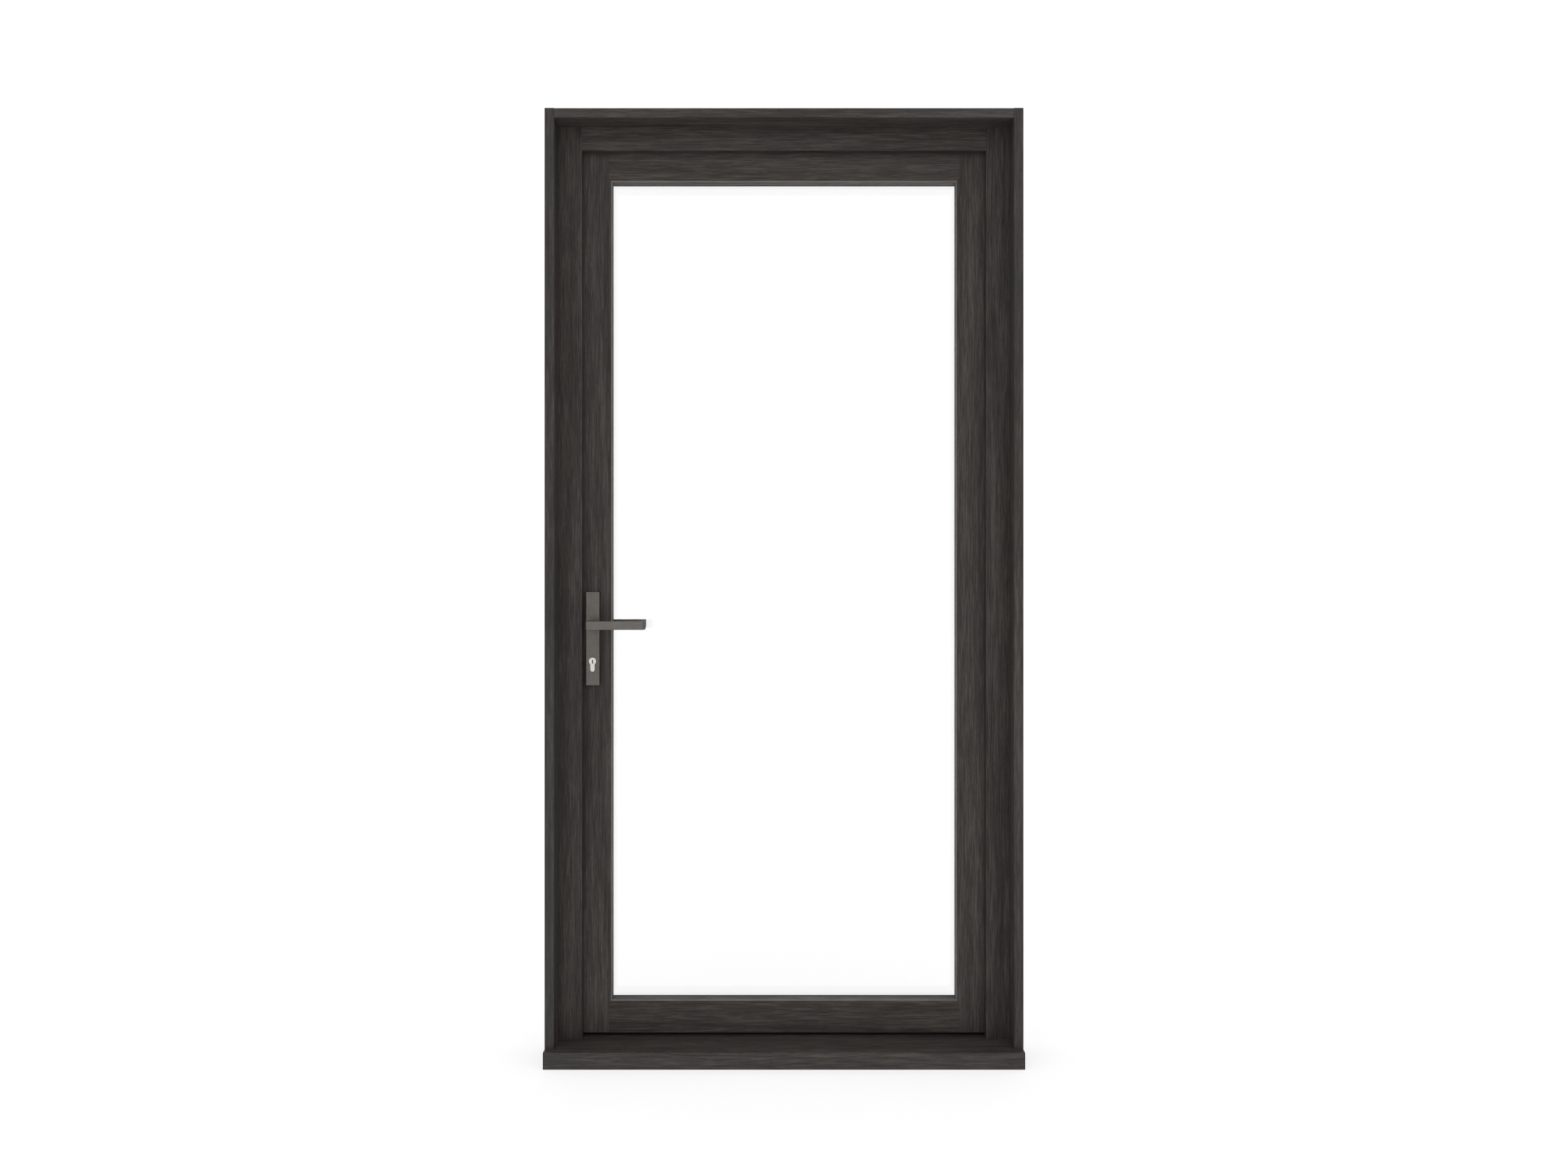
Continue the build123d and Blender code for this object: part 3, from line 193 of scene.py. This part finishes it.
def stained_timber(name, along, tint=0.0, coolness=0.2, seed=0.0):
    """Open-grained hardwood under a dark satin stain.

    The wood's bands run the length of the board, 10 to 30 mm wide. Over them lie streaks 2 to 3 mm wide and
    30 to 80 mm long where the stain was wiped thin, and between those the pores, short dark ticks half a
    millimetre wide. The stain is low in sheen, and it lies a little glossier on the hard pale streaks.
    """
    material, tree, shader = new_material(name)
    coords = add_node(tree, "ShaderNodeTexCoord").outputs["Object"]
    bands = stretched(tree, coords, along, BAND, seed, Detail=3.0, Roughness=0.55, Distortion=0.6)
    streaks = stretched(tree, coords, along, STREAK, seed + 5, Detail=3.0, Roughness=0.6, Distortion=0.3)
    pores = stretched(tree, coords, along, PORE, seed + 9, Detail=2.0, Roughness=0.5)
    patches = stretched(tree, coords, along, COOL_PATCH, seed + 13, Detail=2.0, Roughness=0.5)

    wiped = add_node(tree, "ShaderNodeMath", {0: streaks, 1: STREAK_SHARE}, operation="MULTIPLY")
    grain = add_node(tree, "ShaderNodeMath", {0: bands, 1: 1 - STREAK_SHARE, 2: wiped.outputs["Value"]},
                     operation="MULTIPLY_ADD").outputs["Value"]
    stain = add_node(tree, "ShaderNodeValToRGB", {"Fac": grain}, stops=[
        (GRAIN_DEEP, STAIN_DEEP), (GRAIN_MID, STAIN_MID), (GRAIN_LIGHT, STAIN_LIGHT)])
    # Here and there the stain has turned a shade cooler.
    cool = add_node(tree, "ShaderNodeMapRange", {
        "Value": patches, "From Min": COOL_EDGE[0], "From Max": COOL_EDGE[1],
        "To Min": 0.0, "To Max": coolness})
    patched = add_node(tree, "ShaderNodeMixRGB", {
        "Fac": cool.outputs["Result"], "Color1": stain.outputs["Color"], "Color2": linear(STAIN_COOL)})
    ticks = add_node(tree, "ShaderNodeMapRange", {
        "Value": pores, "From Min": PORE_EDGE[0], "From Max": PORE_EDGE[1],
        "To Min": PORE_SHADE, "To Max": 1.0})
    depth = add_node(tree, "ShaderNodeMath", {0: ticks.outputs["Result"], 1: 1.0 + tint},
                     operation="MULTIPLY")
    toned = add_node(tree, "ShaderNodeHueSaturation", {
        "Color": patched.outputs["Color"], "Value": depth.outputs["Value"]})
    tree.links.new(toned.outputs["Color"], shader.inputs["Base Color"])

    sheen = add_node(tree, "ShaderNodeMapRange", {
        "Value": grain, "From Min": GRAIN_DEEP, "From Max": GRAIN_LIGHT,
        "To Min": SHEEN_DULL, "To Max": SHEEN_SATIN})
    tree.links.new(sheen.outputs["Result"], shader.inputs["Roughness"])
    height = add_node(tree, "ShaderNodeMath", {0: ticks.outputs["Result"], 1: grain}, operation="ADD")
    relief = add_node(tree, "ShaderNodeBump", {
        "Height": height.outputs["Value"], "Strength": 0.4, "Distance": 0.4 * MM})
    tree.links.new(relief.outputs["Normal"], shader.inputs["Normal"])
    shader.inputs["Specular IOR Level"].default_value = 0.3
    return material


def brushed_metal(name, dark, light, roughness, along="z", edge=1.0):
    """Metal drawn or brushed one way, with hair-fine lines that spread its highlight.

    A lacquered or plated finish keeps its grey to the edges; `edge` below 1 holds back the bright rim.
    """
    material, tree, shader = new_material(name)
    coords = add_node(tree, "ShaderNodeTexCoord").outputs["Object"]
    lines = stretched(tree, coords, along, HAIRLINE, Detail=3.0, Roughness=0.6)
    soil = stretched(tree, coords, along, SOIL, Detail=4.0, Roughness=0.6)
    worn = add_node(tree, "ShaderNodeMath", {0: soil, 1: SOIL_SHARE, 2: lines},
                    operation="MULTIPLY_ADD").outputs["Value"]
    colour = add_node(tree, "ShaderNodeValToRGB", {"Fac": worn}, stops=[(0.4, dark), (0.85, light)])
    tree.links.new(colour.outputs["Color"], shader.inputs["Base Color"])
    gloss = add_node(tree, "ShaderNodeMapRange", {
        "Value": worn, "From Min": 0.4, "From Max": 0.9,
        "To Min": roughness + GLOSS_SPREAD, "To Max": roughness - GLOSS_SPREAD})
    tree.links.new(gloss.outputs["Result"], shader.inputs["Roughness"])
    relief = add_node(tree, "ShaderNodeBump", {"Height": lines, "Strength": 0.12, "Distance": 0.05 * MM})
    tree.links.new(relief.outputs["Normal"], shader.inputs["Normal"])
    shader.inputs["Metallic"].default_value = 1.0
    shader.inputs["Specular Tint"].default_value = (edge, edge, edge, 1)
    return material


def moulded(name, dark, light, roughness, grit=1.111, bump=0.15):
    """Extruded rubber or moulded plastic with a fine even grit, in mm, and a little dust in soft spots
    spread at random.
    """
    material, tree, shader = new_material(name)
    coords = add_node(tree, "ShaderNodeTexCoord").outputs["Object"]
    grain = stretched(tree, coords, "z", (grit, grit), Detail=2.0)
    dust = stretched(tree, coords, "z", DUST, Detail=4.0)
    colour = add_node(tree, "ShaderNodeValToRGB", {"Fac": dust}, stops=[(0.35, dark), (0.7, light)])
    tree.links.new(colour.outputs["Color"], shader.inputs["Base Color"])
    relief = add_node(tree, "ShaderNodeBump", {"Height": grain, "Strength": bump, "Distance": 0.1 * MM})
    tree.links.new(relief.outputs["Normal"], shader.inputs["Normal"])
    shader.inputs["Roughness"].default_value = roughness
    return material


def float_glass(name):
    """Clear float glass: nearly no colour, a clean mirror-like sheen, and faint waviness."""
    material, tree = bare_material(name)
    coords = add_node(tree, "ShaderNodeTexCoord").outputs["Object"]
    waves = stretched(tree, coords, "z", GLASS_WAVE, Detail=1.0)
    relief = add_node(tree, "ShaderNodeBump", {"Height": waves, "Strength": 0.02, "Distance": 1 * MM})
    clear = add_node(tree, "ShaderNodeBsdfTransparent", {"Color": (1, 1, 1, 1)})
    sheen = add_node(tree, "ShaderNodeBsdfGlossy", {"Roughness": 0.02, "Normal": relief.outputs["Normal"]})
    # The sheen is faint straight on, and rises with the fifth power of the slant to a full mirror.
    slant = add_node(tree, "ShaderNodeLayerWeight", {"Blend": 0.5})
    steep = add_node(tree, "ShaderNodeMath", {0: slant.outputs["Facing"], 1: 5.0}, operation="POWER")
    share = add_node(tree, "ShaderNodeMath", {
        0: steep.outputs["Value"], 1: 1 - GLASS_SHEEN, 2: GLASS_SHEEN}, operation="MULTIPLY_ADD")
    mix = add_node(tree, "ShaderNodeMixShader", {
        0: share.outputs["Value"], 1: clear.outputs["BSDF"], 2: sheen.outputs["BSDF"]})
    add_node(tree, "ShaderNodeOutputMaterial", {"Surface": mix.outputs["Shader"]})
    return material


# Helpers for modelling -------------------------------------------------------

def deselect_all():
    """Leaves nothing selected, so that the next operator acts on the new piece alone."""
    if bpy.context.object and bpy.context.object.mode != "OBJECT":
        bpy.ops.object.mode_set(mode="OBJECT")
    bpy.ops.object.select_all(action="DESELECT")


def fix_place(piece, name):
    """Names a piece and moves its place into its mesh."""
    deselect_all()
    piece.name = name
    piece.data.name = name
    bpy.context.view_layer.objects.active = piece
    piece.select_set(True)
    bpy.ops.object.transform_apply(location=True, rotation=True, scale=True)
    return piece


def join(pieces):
    """Joins pieces into the first of them."""
    deselect_all()
    for piece in pieces:
        piece.select_set(True)
    bpy.context.view_layer.objects.active = pieces[0]
    bpy.ops.object.join()
    return pieces[0]


def apply_modifier(piece, kind, **settings):
    """Adds one modifier, sets it up and applies it."""
    modifier = piece.modifiers.new(kind.title(), kind)
    for name, value in settings.items():
        setattr(modifier, name, value)
    deselect_all()
    bpy.context.view_layer.objects.active = piece
    piece.select_set(True)
    bpy.ops.object.modifier_apply(modifier=modifier.name)


def cut_away(piece, cutter):
    """Cuts one piece's shape out of another, and throws the cutter away."""
    apply_modifier(piece, "BOOLEAN", operation="DIFFERENCE", object=cutter, solver="EXACT")
    bpy.data.objects.remove(cutter)


def solids(node):
    """The (low, high) box of each separate solid in a node."""
    mesh = bmesh.new()
    mesh.from_mesh(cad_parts[node].data)
    bmesh.ops.remove_doubles(mesh, verts=mesh.verts, dist=0.01 * MM)
    waiting, boxes = set(mesh.verts), []
    while waiting:
        group, edge = set(), [waiting.pop()]
        while edge:
            vertex = edge.pop()
            group.add(vertex)
            near = {e.other_vert(vertex) for e in vertex.link_edges} & waiting
            waiting -= near
            edge.extend(near)
        low = Vector(min(v.co[i] for v in group) for i in range(3))
        high = Vector(max(v.co[i] for v in group) for i in range(3))
        boxes.append((low, high))
    mesh.free()
    return sorted(boxes, key=lambda pair: tuple(pair[0]))


def finish_nodes(material, *nodes):
    """Gives working parts their finish."""
    for node in nodes:
        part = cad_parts[node]
        part.data.materials.clear()
        part.data.materials.append(material)


# Timber ----------------------------------------------------------------------

# Each board is cut from its own plank, so each has its own run of grain, depth of stain and coolness.
BOARDS = {
    "lining_left": ("z", 0.10, 0.5), "lining_right": ("z", 0.10, 0.3), "lining_head": ("x", 0.24, 0.3),
    "jamb_lock": ("z", 0.08, 0.15), "jamb_hinge": ("z", 0.02, 0.1), "frame_head": ("x", 0.02, 0.1),
    "stile_lock": ("z", -0.03, 0.1), "stile_hinge": ("z", 0.03, 0.1),
    "rail_top": ("x", 0.06, 0.1), "rail_bottom": ("x", 0.1, 0.1),
    "glazing_bead_left": ("z", 0.03, 0.1), "glazing_bead_right": ("z", -0.02, 0.1),
    "glazing_bead_top": ("x", 0.05, 0.1), "glazing_bead_bottom": ("x", -0.03, 0.1),
    "sill": ("x", 0.16, 0.3),
}
PLANK_STEP = 3.1

for number, (board, (along, tint, coolness)) in enumerate(BOARDS.items()):
    plank = stained_timber(f"stained_timber_{board}", along, tint, coolness, seed=PLANK_STEP * number)
    finish_nodes(plank, board)

# Glass, rubber and plastic ---------------------------------------------------

glass = float_glass("clear_float_glass")
rubber = moulded("black_epdm_rubber", "0d0d0d", "1a1918", 0.62)
spacer_plastic = moulded("warm_edge_spacer", "151515", "222120", 0.5, grit=0.714, bump=0.1)
nylon = moulded("grey_nylon", "2a2a2b", "3a3a3a", 0.45)
finish_nodes(glass, "glass_outer", "glass_inner")
finish_nodes(rubber, "stop_gasket", "overlap_gasket", "bottom_seal", "glazing_gasket_outer",
             "glazing_gasket_inner", "glass_edge_seal")
finish_nodes(spacer_plastic, "glass_spacer")
finish_nodes(nylon, "setting_blocks", "hinge_washers")

# Metal -----------------------------------------------------------------------

handle_metal = brushed_metal("dark_satin_nickel", "5c5955", "77736f", 0.44, along="x", edge=0.35)
plate_metal = brushed_metal("dark_satin_nickel_plate", "57534f", "706b67", 0.42, along="z", edge=0.5)
cylinder_metal = brushed_metal("satin_nickel_brass", "c3bfbb", "e4e1dd", 0.42, along="z")
zinc = brushed_metal("bright_zinc_steel", "8c8c8a", "b4b4b2", 0.34, along="z")
gear_steel = brushed_metal("oiled_steel", "6e6d6b", "939290", 0.3, along="y")
anodised = brushed_metal("bronze_anodised_aluminium", "3f3c39", "54504c", 0.38, along="x")
finish_nodes(handle_metal, "lever_outer", "lever_inner")
finish_nodes(plate_metal, "backplate_outer", "backplate_inner", "hinge_caps")
finish_nodes(cylinder_metal, "cylinder_body", "cylinder_plug_outer", "cylinder_plug_inner")
finish_nodes(zinc, "gear_case", "faceplate", "drive_rail", "lock_keeps", "deadbolt_strike")
finish_nodes(gear_steel, "drive_pinion", "cylinder_cam", "deadbolt", "locking_cams", "spindle")
finish_nodes(anodised, "threshold_bar")
for position in ("lower", "middle", "upper"):
    finish_nodes(plate_metal, f"hinge_{position}_frame_knuckle", f"hinge_{position}_leaf_knuckle")
    finish_nodes(gear_steel, f"hinge_{position}_pin")


# Screws with their driver recesses -------------------------------------------

def recessed_screw(head_radius, shank_radius, length):
    """One countersunk screw, its head flush at the origin and its shank down -Z, with a cross recess."""
    head_depth = head_radius - shank_radius
    deselect_all()
    bpy.ops.mesh.primitive_cone_add(vertices=ROUND_SIDES, radius1=shank_radius, radius2=head_radius,
                                    depth=head_depth, location=(0, 0, -head_depth / 2))
    screw = fix_place(bpy.context.object, "screw_head")
    deselect_all()
    bpy.ops.object.mode_set(mode="EDIT")
    bpy.ops.mesh.select_mode(type="FACE")
    bpy.ops.mesh.select_all(action="DESELECT")
    bpy.ops.object.mode_set(mode="OBJECT")
    for face in screw.data.polygons:
        face.select = face.normal.z < -0.9
    bpy.context.view_layer.objects.active = screw
    bpy.ops.object.mode_set(mode="EDIT")
    straight = length - head_depth - shank_radius
    for run in (straight, shank_radius):
        bpy.ops.mesh.extrude_region_move(TRANSFORM_OT_translate={"value": (0, 0, -run)})
    bpy.ops.transform.resize(value=(POINT_SHARE, POINT_SHARE, 1))
    bpy.ops.object.mode_set(mode="OBJECT")

    long_side, short_side = head_radius * RECESS_LENGTH, head_radius * RECESS_WIDTH
    for size in ((long_side, short_side), (short_side, long_side)):
        deselect_all()
        bpy.ops.mesh.primitive_cube_add(size=1, scale=(*size, head_radius * RECESS_DEPTH))
        cut_away(screw, fix_place(bpy.context.object, "recess_arm"))
    return screw


def detailed_screws(node, out, body, material):
    """Replaces a node's plain screws with recessed ones, whose heads face along the direction out."""
    out = Vector(out)
    turn = Vector((0, 0, 1)).rotation_difference(out).to_matrix().to_4x4()
    across = 1 if abs(out.x) > 0.5 else 0
    boxes = solids(node)
    first = boxes[0][1] - boxes[0][0]
    head_radius = first[across] / 2
    pattern = recessed_screw(head_radius, head_radius * SHANK_SHARE, max(abs(first.dot(out)), head_radius))
    copies = []
    for low, high in boxes:
        place = (low + high) / 2 + out * abs((high - low).dot(out)) / 2
        copy = pattern.copy()
        copy.data = pattern.data.copy()
        bpy.context.collection.objects.link(copy)
        copy.data.transform(turn)
        copy.data.transform(Matrix.Translation(place))
        copies.append(copy)
    bpy.data.objects.remove(pattern)
    screws = fix_place(join(copies), f"{node}_recessed")
    screws.data.materials.append(material)
    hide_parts(node)
    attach(screws, body)


detailed_screws("keep_screws", (1, 0, 0), "frame", zinc)
detailed_screws("faceplate_screws", (-1, 0, 0), "leaf", zinc)
detailed_screws("cylinder_screw", (-1, 0, 0), "leaf", zinc)
detailed_screws("plate_bolts", (0, 1, 0), "leaf", handle_metal)


# The arris round the glass ---------------------------------------------------

def painted_highlight_arris():
    """A thin pale strip over the chamfer round the glass, a painted highlight along the sight line."""
    deselect_all()
    middle = (SIGHT_LOW + SIGHT_HIGH) / 2
    bpy.ops.mesh.primitive_plane_add(size=1, location=(0, LEAF_FACE - ARRIS_SKIN, middle),
                                     rotation=(radians(90), 0, 0))
    bpy.context.object.scale = (2 * (SIGHT_HALF + ARRIS), SIGHT_HIGH - SIGHT_LOW + 2 * ARRIS, 1)
    arris = fix_place(bpy.context.object, "painted_highlight_arris")
    bpy.ops.object.mode_set(mode="EDIT")
    bpy.ops.mesh.select_mode(type="FACE")
    bpy.ops.mesh.select_all(action="SELECT")
    bpy.ops.mesh.inset(thickness=ARRIS, use_boundary=True)
    bpy.ops.transform.translate(value=(0, ARRIS, 0))
    bpy.ops.mesh.delete(type="FACE")
    bpy.ops.object.mode_set(mode="OBJECT")
    apply_modifier(arris, "SOLIDIFY", thickness=ARRIS_SKIN / 2, offset=0)
    # The strip's pale colour is painted highlight on the arris.
    arris.data.materials.append(moulded("arris_painted_highlight", "56514d", "635e5a", 0.5, grit=1.4286, bump=0.1))
    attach(arris, "leaf")


painted_highlight_arris()


# Grub screws in the levers' necks --------------------------------------------

def grub_screw(name, y):
    """A grub screw set in the underside of a lever's neck, with a hexagon socket."""
    underside = LEVER_UNDER - GRUB_PROUD
    deselect_all()
    bpy.ops.mesh.primitive_cylinder_add(vertices=ROUND_SIDES, radius=GRUB_RADIUS, depth=GRUB_LENGTH,
                                        location=(NECK_X, y, underside + GRUB_LENGTH / 2))
    grub = fix_place(bpy.context.object, name)
    deselect_all()
    bpy.ops.mesh.primitive_cylinder_add(vertices=6, radius=SOCKET_RADIUS, depth=GRUB_LENGTH,
                                        location=(NECK_X, y, underside))
    cut_away(grub, fix_place(bpy.context.object, "hexagon_socket"))
    grub.data.materials.append(gear_steel)
    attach(grub, "handle")


grub_screw("grub_screw_outer", LEAF_FACE - GRUB_FROM_LEAF)
grub_screw("grub_screw_inner", LEAF_BACK + GRUB_FROM_LEAF)


# Camera, floor and light -----------------------------------------------------

def set_camera():
    """A level view, square on from outside."""
    camera_data = bpy.data.cameras.new("camera")
    camera_data.lens = LENS
    camera_data.sensor_width = SENSOR
    camera = bpy.data.objects.new("camera", camera_data)
    camera.location = EYE
    camera.rotation_euler = (radians(90), 0, 0)
    bpy.context.collection.objects.link(camera)
    bpy.context.scene.camera = camera


def lay_floor():
    """A pale matt floor just under the sill, lifted towards white."""
    deselect_all()
    bpy.ops.mesh.primitive_plane_add(size=FLOOR_SIZE, location=(0, 0, cad_box[0].z - FLOOR_GAP))
    floor = bpy.context.object
    floor.name = "floor"
    material, tree = bare_material("pale_floor")
    matt = add_node(tree, "ShaderNodeBsdfDiffuse", {"Color": (FLOOR_GREY, FLOOR_GREY, FLOOR_GREY, 1)})
    lift = add_node(tree, "ShaderNodeEmission", {"Color": (1, 1, 1, 1), "Strength": FLOOR_LIFT})
    both = add_node(tree, "ShaderNodeAddShader", {0: matt.outputs["BSDF"], 1: lift.outputs["Emission"]})
    add_node(tree, "ShaderNodeOutputMaterial", {"Surface": both.outputs["Shader"]})
    floor.data.materials.append(material)


def light_studio():
    """Even white light from all round, shown without a film look."""
    world = bpy.data.worlds.new("studio")
    bpy.context.scene.world = world
    world.use_nodes = True
    tree = world.node_tree
    tree.nodes.clear()
    soft = add_node(tree, "ShaderNodeBackground", {"Color": (1, 1, 1, 1), "Strength": SKY_STRENGTH})
    add_node(tree, "ShaderNodeOutputWorld", {"Surface": soft.outputs["Background"]})
    bpy.context.scene.view_settings.view_transform = "Standard"
    bpy.context.scene.view_settings.look = "None"


set_camera()
lay_floor()
light_studio()
